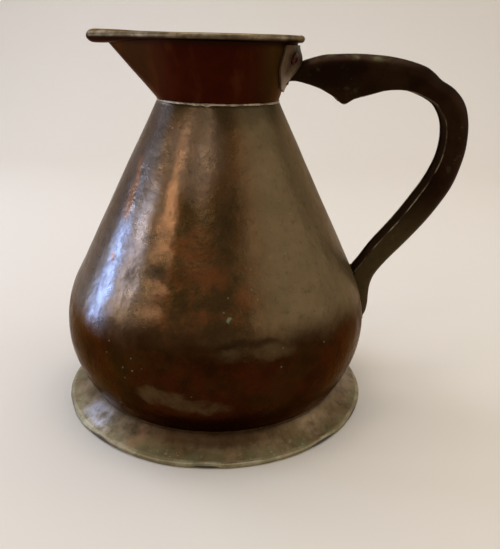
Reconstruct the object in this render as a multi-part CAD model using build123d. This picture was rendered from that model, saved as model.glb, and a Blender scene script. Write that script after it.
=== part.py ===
"""Copper haystack jug of two imperial gallons: a pouring measure wrought from sheet copper.

Millimetres, +Z up.  The origin is on the jug's axis, in the plane that its foot stands on.
The spout points along -X and the handle along +X.
"""
from build123d import *
import os
from functools import cache
from math import asin, atan2, cos, degrees, pi, radians, sin, sqrt, tan

# ---- sheet, wire and solder --------------------------------------------------------------------
body_wall = 1.5
neck_wall = 1.3
foot_wall = 1.1
bottom_wall = 1.5
handle_wall = 1.6
strap_thickness = 1.6
plate_thickness = 2.0
rim_wire_radius = 1.5
foot_wire_radius = 1.1
waist_solder_radius = 1.4
foot_solder_width = 2.0
bottom_solder_width = 2.5
seat_clearance = 0.1

# ---- body: a cone turned over into a round belly -----------------------------------------------
waist_radius = 50.3
waist_height = 267.0
belly_radius = 134.8
belly_height = 74.8
shoulder_arc_radius = 91.7
under_arc_radius = 90.4
body_bottom_height = 12.0
collar_height = 5.0

# ---- bottom disc -------------------------------------------------------------------------------
bottom_flange_height = 7.0
bottom_dome_rise = 5.0

# ---- foot: a flared skirt, wired at its edge ---------------------------------------------------
foot_radius = 138.8
foot_joint_height = 17.0
foot_sag = 1.5
foot_tuck = 2.2
foot_worn_depth = 0.3

# ---- neck: a funnel drawn out into a spout, with a wired rim -----------------------------------
neck_height = 48.0
rim_line_radius = 66.8
spout_reach = 94.5
spout_nose_radius = 8.0
lip_line_reach = 99.6
lip_line_radius = 11.0
lip_half_width = 7.1
lip_half_height = 5.3
lip_crest_rise = 1.5
waist_flat = 0.4

# ---- handle plate and its rivets ---------------------------------------------------------------
plate_rim_gap = 1.7
plate_waist_gap = 7.0
plate_shoulder_drop = 13.5
plate_half_width = 38.5
plate_bottom_half_width = 18.0
plate_corner_radius = 7.0
rivet_drop = 10.5
rivet_azimuth = 18.0
rivet_head_radius = 4.2
rivet_head_height = 2.4
rivet_shank_radius = 1.8
burr_radius = 4.0
burr_thickness = 0.9
peen_radius = 2.7
peen_height = 0.9

# ---- handle: a half-round channel closed by a flat strap ---------------------------------------
handle_width = 25.0
channel_depth = 30.0
spur_reach = 30.0
spur_depth = 20.0
tail_solid_height = 12.0
handle_solder_radius = 1.3
crown_radius = 120.0
elbow_radius = 35.0
back_radius = 118.0
heel_radius = 30.0
throat_radius = 25.0
spur_radius = 3.0
grip_crown_radius = 35.0
grip_elbow_radius = 25.0
grip_back_radius = 60.0
grip_foot_radius = 40.0
root_drop = 16.0

# corners at the neck: (reach beyond the mouth, drop below the rim)
throat = (14.7, 33.5)
spur = (38.2, 50.5)

# upper corners: (reach beyond the belly, drop below the rim)
crown = (15.2, 7.5)
elbow = (77.2, 43.0)
back = (83.2, 109.0)
grip_crown = (15.2, 31.5)
grip_elbow = (53.7, 63.0)
grip_back = (52.7, 92.5)

# lower corners: (reach beyond the belly, rise above its widest line)
heel = (7.2, 36.2)
tail = (3.2, -1.8)
grip_foot = (-8.8, 50.7)
grip_end = (-16.8, -14.8)

# ---- worked out from the sizes above -----------------------------------------------------------
shoulder_centre = (belly_radius - shoulder_arc_radius, belly_height)
under_centre = (belly_radius - under_arc_radius, belly_height)
waist_run = waist_radius - shoulder_centre[0]
waist_rise = waist_height - shoulder_centre[1]
waist_tangent = sqrt(waist_run**2 + waist_rise**2 - shoulder_arc_radius**2)
shoulder_angle = atan2(waist_rise, waist_run) - atan2(waist_tangent, shoulder_arc_radius)
rim_height = waist_height + neck_height
rim_bead_radius = rim_wire_radius + neck_wall
foot_bead_radius = foot_wire_radius + foot_wall
foot_line_radius = foot_radius - foot_bead_radius
foot_line_height = foot_bead_radius - foot_worn_depth
mouth_radius = rim_line_radius - rim_wire_radius
neck_slope = (mouth_radius - waist_radius) / (rim_height - waist_height)
rim_crest_height = rim_height + rim_bead_radius
lip_height = rim_crest_height + lip_crest_rise - lip_half_height
jug_height = rim_crest_height + lip_crest_rise
cut_size = 3 * belly_radius
plate_top = rim_height - rim_bead_radius - plate_rim_gap
plate_bottom = waist_height + plate_waist_gap
rivet_height = plate_top - rivet_drop
handle_half_width = handle_width / 2
tail_height = belly_height + tail[1]


def neck_corner(corner):
    """A corner of the handle's outline beside the neck, in the X-Z plane."""
    return mouth_radius + corner[0], rim_height - corner[1]


def upper_corner(corner):
    """A corner of the handle's outline above the grip, in the X-Z plane."""
    return belly_radius + corner[0], rim_height - corner[1]


def lower_corner(corner):
    """A corner of the handle's outline beside the belly, in the X-Z plane."""
    return belly_radius + corner[0], belly_height + corner[1]


def bent_path(corners, radii):
    """Straight runs joined by tangent arcs, where two arcs that share a run share its length."""
    points = [Vector(*corner) for corner in corners]
    runs = [after - before for before, after in zip(points, points[1:])]
    reaches = [0.0]
    for radius, before, after in zip(radii, runs, runs[1:]):
        reaches.append(radius * tan(radians(before.get_angle(after)) / 2))
    reaches.append(0.0)
    shares = []
    for run, start, end in zip(runs, reaches, reaches[1:]):
        shares.append(min(1.0, (run.length - seat_clearance) / (start + end)))
    room = [radius * min(pair) for radius, *pair in zip(radii, shares, shares[1:])]
    return FilletPolyline(corners, radius=room)


def at(radius, height):
    """A point of a radial half section, which is drawn in the X-Z plane."""
    return Vector(radius, 0, height)


def on_arc(centre, radius, angle):
    """The point at an angle on an arc of a radial half section."""
    return at(centre[0] + radius * cos(angle), centre[1] + radius * sin(angle))


def section(*edges):
    """The half section that is bounded by the edges."""
    return make_face(Wire(edges))


def turned(*edges):
    """The solid of revolution whose half section is bounded by the edges."""
    return revolve(section(*edges), Axis.Z)


def ring(line_radius, height, section_radius):
    """A round-section ring about the jug's axis."""
    return Pos(0, 0, height) * Torus(line_radius, section_radius)


def slab(low, high):
    """Everything between two heights."""
    return Pos(0, 0, low) * Cylinder(cut_size, high - low, align=(Align.CENTER, Align.CENTER, Align.MIN))


def under_angle(height, inset):
    """Angle on the underside's arc at a height, for a surface that lies inset from the outside."""
    drop = belly_height - height
    return -atan2(drop, sqrt((under_arc_radius - inset) ** 2 - drop**2))


def under_point(height, inset=0.0):
    """The point of the belly's underside at a height."""
    return on_arc(under_centre, under_arc_radius - inset, under_angle(height, inset))


# ---- body --------------------------------------------------------------------------------------
@cache
def body_form(inset=0.0):
    """The cone and belly as a filled solid, its surface moved in by the inset."""
    shoulder_arc = shoulder_arc_radius - inset
    under_arc = under_arc_radius - inset
    low_angle = under_angle(body_bottom_height, inset)
    low = on_arc(under_centre, under_arc, low_angle)
    under_middle = on_arc(under_centre, under_arc, low_angle / 2)
    belly = at(belly_radius - inset, belly_height)
    shoulder_middle = on_arc(shoulder_centre, shoulder_arc, shoulder_angle / 2)
    shoulder = on_arc(shoulder_centre, shoulder_arc, shoulder_angle)
    waist = at(waist_radius - inset / cos(shoulder_angle), waist_height)
    return turned(
        Line(at(0, body_bottom_height), low),
        ThreePointArc(low, under_middle, belly),
        ThreePointArc(belly, shoulder_middle, shoulder),
        Line(shoulder, waist),
        Line(waist, at(0, waist_height)),
        Line(at(0, waist_height), at(0, body_bottom_height)),
    )


@cache
def collar_tube():
    """The short collar at the top of the cone, which stands up inside the neck."""
    outer = waist_radius - neck_wall - seat_clearance
    height = collar_height + body_wall
    tube = Cylinder(outer, height) - Cylinder(outer - body_wall, height)
    return Pos(0, 0, waist_height + collar_height - height / 2) * tube


def make_body_shell():
    """Cone and belly in one skin, open at both ends, with the collar on top."""
    return body_form() - body_form(body_wall) + collar_tube()


def dome_arc(edge):
    """Arc of a dome centred on the axis, from its crest down to a point at its edge."""
    radius = (edge.X**2 + bottom_dome_rise**2) / (2 * bottom_dome_rise)
    crest_height = edge.Z + bottom_dome_rise
    half_angle = asin(edge.X / radius) / 2
    middle = at(radius * sin(half_angle), crest_height - radius * (1 - cos(half_angle)))
    return ThreePointArc(at(0, crest_height), middle, edge)


@cache
def bottom_disc_section():
    """Half section of the domed disc, its edge turned down inside the body's lower edge."""
    low = body_bottom_height
    high = low + bottom_flange_height
    middle = (low + high) / 2
    outer = [under_point(height, body_wall) for height in (high, middle, low)]
    turn = high - bottom_wall
    inner = [under_point(height, body_wall + bottom_wall) for height in (low, (low + turn) / 2, turn)]
    top = dome_arc(outer[0])
    underside = dome_arc(inner[2])
    return section(
        top,
        ThreePointArc(*outer),
        Line(outer[2], inner[0]),
        ThreePointArc(*inner),
        underside,
        Line(underside @ 0, top @ 0),
    )


def make_bottom_disc():
    """Domed disc that closes the body from below."""
    return revolve(bottom_disc_section(), Axis.Z)


def make_bottom_solder():
    """Fillet of solder in the corner under the disc, between its flange and its dome."""
    turn = body_bottom_height + bottom_flange_height - bottom_wall
    corner = under_point(turn, body_wall + bottom_wall)
    sink = bottom_wall / 2
    low = under_point(turn - bottom_solder_width, body_wall + sink)
    inward = at(corner.X - bottom_solder_width, corner.Z + sink)
    heart = at(corner.X + sink, corner.Z + sink)
    bead = section(Line(low, inward), Line(inward, heart), Line(heart, low))
    return revolve(bead - bottom_disc_section(), Axis.Z)


# ---- foot --------------------------------------------------------------------------------------
def foot_curve(height_shift):
    """Hollow-curved fall of the skirt from the belly to the wired edge."""
    start = at(under_point(foot_joint_height).X - foot_tuck, foot_joint_height + foot_wall)
    end = at(foot_line_radius, foot_line_height + foot_bead_radius)
    middle = (start + end) / 2 - Vector(0, 0, foot_sag)
    shift = Vector(0, 0, height_shift)
    return start + shift, middle + shift, end + shift


@cache
def make_foot_skirt():
    """Flared skirt, its edge rolled over a wire and worn flat where it stands."""
    top_start, top_middle, top_end = foot_curve(0)
    low_start, low_middle, low_end = foot_curve(-foot_wall)
    skirt = turned(
        ThreePointArc(top_start, top_middle, top_end),
        Line(top_end, low_end),
        ThreePointArc(low_end, low_middle, low_start),
        Line(low_start, top_start),
    )
    roll = ring(foot_line_radius, foot_line_height, foot_bead_radius)
    standing = slab(0, body_bottom_height + foot_joint_height)
    return ((skirt + roll) & standing) - make_foot_wire() - body_form()


def make_foot_wire():
    """Wire that the skirt's edge is rolled over."""
    return ring(foot_line_radius, foot_line_height, foot_wire_radius)


def make_foot_solder():
    """Solder fillets above and below the skirt, where it meets the belly."""
    above = under_point(foot_joint_height + foot_solder_width)
    below = under_point(foot_joint_height - foot_wall - foot_solder_width)
    inside = at(below.X - foot_solder_width, foot_joint_height)
    sheet = ThreePointArc(*foot_curve(-foot_wall / 2))
    outside = sheet.position_at(foot_tuck + foot_solder_width, position_mode=PositionMode.LENGTH)
    fillets = turned(Line(above, outside), Line(outside, below), Line(below, inside), Line(inside, above))
    return fillets - body_form() - make_foot_skirt()


# ---- neck --------------------------------------------------------------------------------------
def side_angle(back_radius, nose_radius, nose_centre_reach):
    """Angle from +X of the normal where the straight flank leaves the back arc."""
    share = (back_radius - nose_radius) / nose_centre_reach
    return atan2(sqrt(1 - share**2), -share)


def teardrop(height, back_radius, nose_radius, reach, flank_angle):
    """Closed plan outline: a round back, straight flanks and a round nose towards -X."""
    nose_centre = reach - nose_radius

    def back(angle):
        return Vector(back_radius * cos(angle), back_radius * sin(angle), height)

    def nose(angle):
        return Vector(nose_radius * cos(angle) - nose_centre, nose_radius * sin(angle), height)

    return Wire(
        [
            ThreePointArc(back(-flank_angle), back(0), back(flank_angle)),
            Line(back(flank_angle), nose(flank_angle)),
            ThreePointArc(nose(flank_angle), Vector(-reach, 0, height), nose(-flank_angle)),
            Line(nose(-flank_angle), back(-flank_angle)),
        ]
    )


mouth_flank_angle = side_angle(mouth_radius, spout_nose_radius, spout_reach - spout_nose_radius)
lip_flank_angle = side_angle(rim_line_radius, lip_line_radius, lip_line_reach - lip_line_radius)


@cache
def funnel_form(inset=0.0):
    """The funnel as a filled solid: the waist's circle carried up to the mouth's teardrop."""
    waist_nose_radius = waist_radius + waist_flat * cos(mouth_flank_angle)
    waist = teardrop(
        waist_height,
        waist_radius - inset,
        waist_nose_radius - inset,
        waist_nose_radius + waist_flat - inset,
        mouth_flank_angle,
    )
    mouth = teardrop(
        rim_height,
        mouth_radius - inset,
        spout_nose_radius - inset,
        spout_reach - inset,
        mouth_flank_angle,
    )
    return loft([make_face(waist), make_face(mouth)], ruled=True)


def rim_section(position, angle, profile):
    """A profile placed across the rim's line, square to the line there."""
    outward = Vector(cos(angle), sin(angle), 0)
    along = Vector(sin(angle), -cos(angle), 0)
    return Plane(origin=position, x_dir=outward, z_dir=along) * profile


def rim_rod(lip, bead):
    """A rod along the rim: round the lip's nose, along both flanks and round the back."""
    nose_centre = lip_line_reach - lip_line_radius
    across = Vector(cos(lip_flank_angle), sin(lip_flank_angle), 0)
    lip_place = lip_line_radius * across + Vector(-nose_centre, 0, lip_height)
    bead_place = rim_line_radius * across + Vector(0, 0, rim_height)
    lip_end = rim_section(lip_place, lip_flank_angle, lip)
    bead_end = rim_section(bead_place, lip_flank_angle, bead)
    nose = revolve(lip_end, Axis((-nose_centre, 0, 0), (0, 0, 1)), degrees(2 * (pi - lip_flank_angle)))
    flank = loft([lip_end, bead_end])
    back = revolve(mirror(bead_end, Plane.XZ), Axis.Z, degrees(2 * lip_flank_angle))
    return nose + flank + mirror(flank, Plane.XZ) + back


@cache
def rim_form(inset=0.0):
    """The rolled rim as a filled rod: full at the lip and slim along the sides."""
    lip = Ellipse(lip_half_width - inset, lip_half_height - inset)
    return rim_rod(lip, Circle(rim_bead_radius - inset))


def make_neck_funnel():
    """Funnel and spout in one sheet, its mouth rolled outwards over the rim wire."""
    sheet = funnel_form() - funnel_form(neck_wall)
    return sheet + rim_form() - rim_form(neck_wall) - rivet_shanks()


def make_rim_wire():
    """Wire inside the rolled rim; it runs on through the hollow of the lip."""
    return rim_rod(Circle(rim_wire_radius), Circle(rim_wire_radius))


def make_waist_solder():
    """Line of solder in the groove where the neck stands on the cone."""
    return ring(waist_radius, waist_height, waist_solder_radius) - body_form() - funnel_form() - collar_tube()


# ---- handle plate and rivets -------------------------------------------------------------------
@cache
def neck_cone(offset=0.0):
    """The back of the funnel as a full cone, its surface moved out by the offset."""
    stretch = offset * sqrt(1 + neck_slope**2)
    low = waist_radius + stretch
    high = mouth_radius + stretch
    height = rim_height - waist_height
    return Pos(0, 0, waist_height) * Cone(low, high, height, align=(Align.CENTER, Align.CENTER, Align.MIN))


def plate_outline():
    """Shield outline of the handle plate, seen from the handle side."""
    shoulder = plate_top - plate_shoulder_drop
    corners = [
        (-plate_half_width, plate_top),
        (plate_half_width, plate_top),
        (plate_half_width, shoulder),
        (plate_bottom_half_width, plate_bottom),
        (-plate_bottom_half_width, plate_bottom),
        (-plate_half_width, shoulder),
    ]
    face = make_face(Polyline(corners, close=True))
    return fillet(face.vertices(), plate_corner_radius)


def make_handle_plate():
    """Curved shield plate that spreads the handle's load over the back of the neck."""
    shield = extrude(Plane.YZ * plate_outline(), cut_size)
    return ((neck_cone(plate_thickness) - neck_cone()) & shield) - rivet_shanks()


def rivet_places():
    """Planes on the plate's face, one for each rivet, facing outwards."""
    lean = sqrt(1 + neck_slope**2)
    reach = waist_radius + neck_slope * (rivet_height - waist_height) + plate_thickness * lean
    places = []
    for azimuth in (-radians(rivet_azimuth), radians(rivet_azimuth)):
        outward = Vector(cos(azimuth), sin(azimuth), -neck_slope)
        origin = Vector(reach * cos(azimuth), reach * sin(azimuth), rivet_height)
        places.append(Plane(origin=origin, z_dir=outward))
    return places


def rivet_grip():
    """Depth from the plate's face to the inside of the neck."""
    return plate_thickness + neck_wall / sqrt(1 + neck_slope**2)


@cache
def rivet_shanks():
    """The rivets' shanks, which also make the holes that they pass through."""
    length = rivet_grip() + burr_thickness + peen_height
    shank = Cylinder(rivet_shank_radius, length, align=(Align.CENTER, Align.CENTER, Align.MAX))
    return Part() + [place * shank for place in rivet_places()]


def make_plate_rivets():
    """Domed copper rivets, closed over burrs inside the neck."""
    dome_radius = (rivet_head_radius**2 + rivet_head_height**2) / (2 * rivet_head_height)
    dome = Pos(0, 0, rivet_head_height - dome_radius) * Sphere(dome_radius)
    head = dome & Pos(0, 0, -seat_clearance) * Cylinder(
        2 * rivet_head_radius, rivet_head_height + seat_clearance, align=(Align.CENTER, Align.CENTER, Align.MIN)
    )
    inside = rivet_grip() + burr_thickness
    peen = Pos(0, 0, -inside) * Cone(
        rivet_shank_radius, peen_radius, peen_height, align=(Align.CENTER, Align.CENTER, Align.MAX)
    )
    heads = Part() + [place * head for place in rivet_places()]
    peens = Part() + [place * peen for place in rivet_places()]
    return (heads - neck_cone(plate_thickness)) + rivet_shanks() + peens


def make_rivet_burrs():
    """Washers inside the neck, under the closed ends of the rivets."""
    disc = Pos(0, 0, -rivet_grip()) * Cylinder(
        burr_radius, burr_thickness, align=(Align.CENTER, Align.CENTER, Align.MAX)
    )
    discs = Part() + [place * disc for place in rivet_places()]
    return (discs & funnel_form(neck_wall)) - rivet_shanks()


# ---- handle ------------------------------------------------------------------------------------
@cache
def channel_form(inset=0.0):
    """Half-round form that follows the handle's back, with the spur's block under the grip."""
    corners = [
        (waist_radius, rim_height - root_drop),
        upper_corner(crown),
        upper_corner(elbow),
        upper_corner(back),
        lower_corner(heel),
        lower_corner(tail),
    ]
    radii = [crown_radius, elbow_radius, back_radius, heel_radius]
    spine = Plane.XZ * bent_path(corners, radii)
    half_width = handle_half_width - inset
    centre = -handle_half_width
    section = make_face(
        [
            ThreePointArc((-half_width, centre), (0, centre + half_width), (half_width, centre)),
            Line((half_width, centre), (half_width, -channel_depth)),
            Line((half_width, -channel_depth), (-half_width, -channel_depth)),
            Line((-half_width, -channel_depth), (-half_width, centre)),
        ]
    )
    place = Plane(origin=spine @ 0, x_dir=Vector(0, 1, 0), z_dir=spine % 0)
    rod = sweep(place * section, path=spine)
    spur_x, spur_z = neck_corner(spur)
    block = Pos(spur_x, 0, spur_z + spur_depth / 2) * Box(2 * spur_reach, 2 * half_width, spur_depth)
    return rod + block


@cache
def grip_side(inset=0.0):
    """Everything on the back's side of the grip line, moved in by the inset."""
    root = (waist_radius, rim_height - throat[1])
    end = lower_corner(grip_end)
    corners = [
        root,
        neck_corner(throat),
        neck_corner(spur),
        upper_corner(grip_crown),
        upper_corner(grip_elbow),
        upper_corner(grip_back),
        lower_corner(grip_foot),
        end,
    ]
    radii = [
        throat_radius,
        spur_radius,
        grip_crown_radius,
        grip_elbow_radius,
        grip_back_radius,
        grip_foot_radius,
    ]
    grip = bent_path(corners, radii)
    beyond = Polyline(end, (cut_size, end[1]), (cut_size, cut_size), (root[0], cut_size), root)
    face = make_face([*grip.edges(), *beyond.edges()])
    if inset:
        face = offset(face, -inset)
    return extrude(Plane.XZ * face, handle_width, both=True)


@cache
def handle_form():
    """The whole handle as a filled solid, seated on the plate and the belly."""
    return (channel_form() & grip_side()) - body_form() - neck_cone(plate_thickness)


@cache
def handle_hollow():
    """The space inside the handle's channel, open on the grip side."""
    return channel_form(handle_wall) - slab(0, tail_height + tail_solid_height)


def make_handle_shell():
    """Half-round channel that makes the handle's back and sides."""
    return handle_form() - handle_hollow()


def make_handle_strap():
    """Flat strap that closes the channel along the grip."""
    return (handle_form() & handle_hollow()) - grip_side(strap_thickness)


def make_root_solder():
    """Solder round the handle's root on the plate."""
    skin = neck_cone(plate_thickness + handle_solder_radius) - neck_cone(plate_thickness)
    return (channel_form(-handle_solder_radius) & grip_side(-handle_solder_radius) & skin) - handle_form()


def make_tail_solder():
    """Solder round the handle's tail on the belly."""
    skin = body_form(-handle_solder_radius) - body_form()
    grown = channel_form(-handle_solder_radius) & grip_side(-handle_solder_radius)
    return (grown & skin) - handle_form()


# ---- the pieces --------------------------------------------------------------------------------
pieces = {
    "body_shell": make_body_shell,
    "bottom_disc": make_bottom_disc,
    "bottom_solder": make_bottom_solder,
    "foot_skirt": make_foot_skirt,
    "foot_wire": make_foot_wire,
    "foot_solder": make_foot_solder,
    "neck_funnel": make_neck_funnel,
    "rim_wire": make_rim_wire,
    "waist_solder": make_waist_solder,
    "handle_plate": make_handle_plate,
    "plate_rivets": make_plate_rivets,
    "rivet_burrs": make_rivet_burrs,
    "handle_shell": make_handle_shell,
    "handle_strap": make_handle_strap,
    "root_solder": make_root_solder,
    "tail_solder": make_tail_solder,
}

os.makedirs("parts", exist_ok=True)
for name, make in pieces.items():
    export_step(make(), f"parts/{name}.step")
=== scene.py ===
"""Looks of the copper haystack jug: beaten skins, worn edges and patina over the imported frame.

Metres, +Z up, the jug's axis at the origin, its spout towards -X and its handle towards +X.
"""

from math import acos, atan2, cos, exp, hypot, pi, radians, sin, sqrt

import bmesh
import bpy
from mathutils import Matrix, Vector, noise


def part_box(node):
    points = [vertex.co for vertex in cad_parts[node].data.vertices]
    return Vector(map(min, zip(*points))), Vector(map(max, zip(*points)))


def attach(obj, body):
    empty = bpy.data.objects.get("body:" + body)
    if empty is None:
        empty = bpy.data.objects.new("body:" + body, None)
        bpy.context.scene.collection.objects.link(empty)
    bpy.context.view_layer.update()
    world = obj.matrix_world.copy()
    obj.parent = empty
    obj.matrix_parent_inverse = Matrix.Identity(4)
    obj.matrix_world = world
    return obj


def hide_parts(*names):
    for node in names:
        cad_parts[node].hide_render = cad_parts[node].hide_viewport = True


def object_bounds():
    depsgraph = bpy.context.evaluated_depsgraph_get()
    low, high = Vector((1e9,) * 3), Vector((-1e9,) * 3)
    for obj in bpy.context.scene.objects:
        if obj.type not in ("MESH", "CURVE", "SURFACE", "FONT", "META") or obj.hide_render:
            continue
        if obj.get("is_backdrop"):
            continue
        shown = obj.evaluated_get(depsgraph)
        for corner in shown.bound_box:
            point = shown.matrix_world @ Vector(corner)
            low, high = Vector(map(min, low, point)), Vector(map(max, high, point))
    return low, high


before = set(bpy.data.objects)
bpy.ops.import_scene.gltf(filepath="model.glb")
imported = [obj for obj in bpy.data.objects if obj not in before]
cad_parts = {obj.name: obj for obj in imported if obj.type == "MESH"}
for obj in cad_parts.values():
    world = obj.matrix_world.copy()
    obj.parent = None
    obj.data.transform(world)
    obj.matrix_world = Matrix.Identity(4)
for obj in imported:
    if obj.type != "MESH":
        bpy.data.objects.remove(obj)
frame_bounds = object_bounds()

# ---- sizes, in metres --------------------------------------------------------------------------
MM = 0.001
body_low, body_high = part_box("body_shell")
_, foot_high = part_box("foot_skirt")
neck_low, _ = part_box("neck_funnel")
plate_low, plate_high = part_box("handle_plate")
BODY_WALL = 1.5 * MM
BELLY_RADIUS = body_high[0]
BODY_BOTTOM = body_low[2]
BELLY_HEIGHT = 74.8 * MM
SHOULDER_ARC = 91.7 * MM
UNDER_ARC = 90.4 * MM
WAIST_RADIUS = 50.3 * MM
WAIST_HEIGHT = neck_low[2]
COLLAR_TOP = body_high[2]
FOOT_RADIUS = foot_high[0]
FOOT_JOINT = 17 * MM
FOOT_WALL = 1.1 * MM
FOOT_BEAD = 2.2 * MM
NECK_WALL = 1.3 * MM
RIM_HEIGHT = 315 * MM
RIM_LINE = 66.8 * MM
RIM_BEAD = 2.8 * MM
MOUTH_RADIUS = RIM_LINE - 1.5 * MM
SPOUT_REACH = 94.5 * MM
SPOUT_NOSE = 8 * MM
LIP_REACH = 99.6 * MM
LIP_NOSE = 11 * MM
LIP_HALF_WIDTH = 7.1 * MM
LIP_HALF_HEIGHT = 5.3 * MM
LIP_CREST_RISE = 1.5 * MM
PLATE_TOP = plate_high[2]
PLATE_BOTTOM = plate_low[2]
PLATE_THICKNESS = 2.0 * MM
RIVET_AZIMUTH = radians(18)
RIVET_HEIGHT = 300.6 * MM
RIVET_RADIUS = 4.8 * MM
SEAT_CLEARANCE = 0.1 * MM

# steps round a turned piece, and the distance within which points are one
ROUND_STEPS = 320
WELD = 1e-6


def smooth_step(low, high, value):
    """0 below low, 1 above high, and a smooth rise between them."""
    share = min(max((value - low) / (high - low), 0.0), 1.0)
    return share * share * (3 - 2 * share)


def hump(distance, width):
    """A round hump: 1 at no distance, fading to nothing over the width."""
    return exp(-((distance / width) ** 2))


def turn_between(a, b):
    """Smallest turn between two directions, in radians."""
    return abs((a - b + pi) % (2 * pi) - pi)


def ripple(point, size, seed):
    """Smooth noise between about -1 and 1, with features of the given size."""
    return noise.noise(Vector(point) / size + Vector((seed, 2.3 * seed, 5.1 * seed)))


# ---- mesh making -------------------------------------------------------------------------------
def new_object(name, form):
    """A smooth-shaded object from a bmesh, which is freed."""
    mesh = bpy.data.meshes.new(name)
    form.to_mesh(mesh)
    form.free()
    for face in mesh.polygons:
        face.use_smooth = True
    item = bpy.data.objects.new(name, mesh)
    bpy.context.collection.objects.link(item)
    return item


def new_piece(name, form):
    """A finished piece from a bmesh, riding on the jug."""
    piece = new_object(name, form)
    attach(piece, "root")
    return piece


def weld(form):
    """Closes seams and poles and turns every face outwards."""
    bmesh.ops.remove_doubles(form, verts=form.verts, dist=WELD)
    bmesh.ops.dissolve_degenerate(form, dist=WELD / 10, edges=form.edges)
    bmesh.ops.recalc_face_normals(form, faces=form.faces)


def turned_form(outline):
    """Solid of revolution from a closed outline of (radius, height) points."""
    form = bmesh.new()
    points = [form.verts.new((radius, 0, height)) for radius, height in outline]
    edges = [form.edges.new(pair) for pair in zip(points, points[1:] + points[:1])]
    bmesh.ops.spin(
        form,
        geom=points + edges,
        cent=(0, 0, 0),
        axis=(0, 0, 1),
        dvec=(0, 0, 0),
        angle=2 * pi,
        steps=ROUND_STEPS,
        use_merge=True,
    )
    weld(form)
    return form


def draped_form(columns, rows, place, mark=None):
    """A sheet of columns by rows, its points where place(across, along) says, each 0 to 1.

    mark(across) gives each point a number for its finish to read.
    """
    form = bmesh.new()
    bmesh.ops.create_grid(form, x_segments=columns, y_segments=rows, size=0.5)
    marks = form.verts.layers.float.new("mark")
    for vertex in form.verts:
        across, along = vertex.co.x + 0.5, vertex.co.y + 0.5
        vertex.co = place(across, along)
        if mark:
            vertex[marks] = mark(across)
    weld(form)
    return form


def moved(form, shift):
    """Moves each point of a form by shift(point)."""
    for vertex in form.verts:
        vertex.co += shift(vertex.co.copy())
    return form


def arc_points(centre, radius, start, end, count):
    """Points along an arc in the half section, both ends included."""
    turns = [start + (end - start) * step / (count - 1) for step in range(count)]
    return [(centre[0] + radius * cos(turn), centre[1] + radius * sin(turn)) for turn in turns]


def straight_points(start, end, count):
    """Points along a straight line, both ends included."""
    shares = [step / (count - 1) for step in range(count)]
    return [tuple(a + (b - a) * share for a, b in zip(start, end)) for share in shares]


# ---- body --------------------------------------------------------------------------------------
shoulder_centre = (BELLY_RADIUS - SHOULDER_ARC, BELLY_HEIGHT)
under_centre = (BELLY_RADIUS - UNDER_ARC, BELLY_HEIGHT)
waist_run = WAIST_RADIUS - shoulder_centre[0]
waist_rise = WAIST_HEIGHT - BELLY_HEIGHT
shoulder_angle = atan2(waist_rise, waist_run) - acos(SHOULDER_ARC / hypot(waist_run, waist_rise))
UNDER_POINTS, SHOULDER_POINTS, CONE_POINTS = 26, 22, 50


def under_radius(height, inset=0.0):
    """Radius of the belly's underside at a height."""
    return under_centre[0] + sqrt((UNDER_ARC - inset) ** 2 - (BELLY_HEIGHT - height) ** 2)


def body_line(inset):
    """Half section of one face of the body's skin, from its bottom edge up to the waist."""
    low_run = under_radius(BODY_BOTTOM, inset) - under_centre[0]
    low_turn = -atan2(BELLY_HEIGHT - BODY_BOTTOM, low_run)
    under = arc_points(under_centre, UNDER_ARC - inset, low_turn, 0, UNDER_POINTS)
    shoulder = arc_points(shoulder_centre, SHOULDER_ARC - inset, 0, shoulder_angle, SHOULDER_POINTS)
    waist = (WAIST_RADIUS - inset / cos(shoulder_angle), WAIST_HEIGHT)
    cone = straight_points(shoulder[-1], waist, CONE_POINTS)
    return under[:-1] + shoulder[:-1] + cone


# dents of the body: azimuth in degrees, height, reach round, reach up, depth (metres)
BODY_DENTS = (
    (-115, 0.150, 0.020, 0.030, 0.9 * MM),
    (-124, 0.195, 0.014, 0.050, 0.5 * MM),
    (-131, 0.165, 0.007, 0.012, 0.50 * MM),
    (-137.5, 0.153, 0.006, 0.007, 0.75 * MM),
    (-124, 0.140, 0.009, 0.010, 1.10 * MM),
    (-112, 0.142, 0.010, 0.010, 1.00 * MM),
    (-112, 0.172, 0.008, 0.009, 0.70 * MM),
    (-113, 0.124, 0.012, 0.007, 0.70 * MM),
    (-140, 0.118, 0.010, 0.012, 0.50 * MM),
    (-106, 0.055, 0.026, 0.012, 1.3 * MM),
    (-91, 0.049, 0.030, 0.010, 1.5 * MM),
    (-76, 0.096, 0.034, 0.012, 1.1 * MM),
    (-72, 0.078, 0.022, 0.012, 0.7 * MM),
    (-85, 0.112, 0.020, 0.008, 0.5 * MM),
    (-60, 0.128, 0.030, 0.022, 0.5 * MM),
    (-150, 0.120, 0.022, 0.030, 0.6 * MM),
    (60, 0.090, 0.030, 0.018, 1.2 * MM),
    (115, 0.140, 0.026, 0.034, 0.8 * MM),
    (165, 0.070, 0.034, 0.016, 1.0 * MM),
    (30, 0.180, 0.018, 0.034, 0.5 * MM),
)
# how deep the skin waves, ripples and shows the hammer, and how far all of it lies inside
BODY_WAVE = 0.45 * MM
BODY_RIPPLE = 0.24 * MM
BODY_HAMMERING = 0.08 * MM
BODY_SINK = 0.25 * MM
# the skin departs from its form freely between these heights; towards its ends the joints hold it
BODY_FREE_FROM, BODY_FREE_TO = 0.035, 0.245


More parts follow.
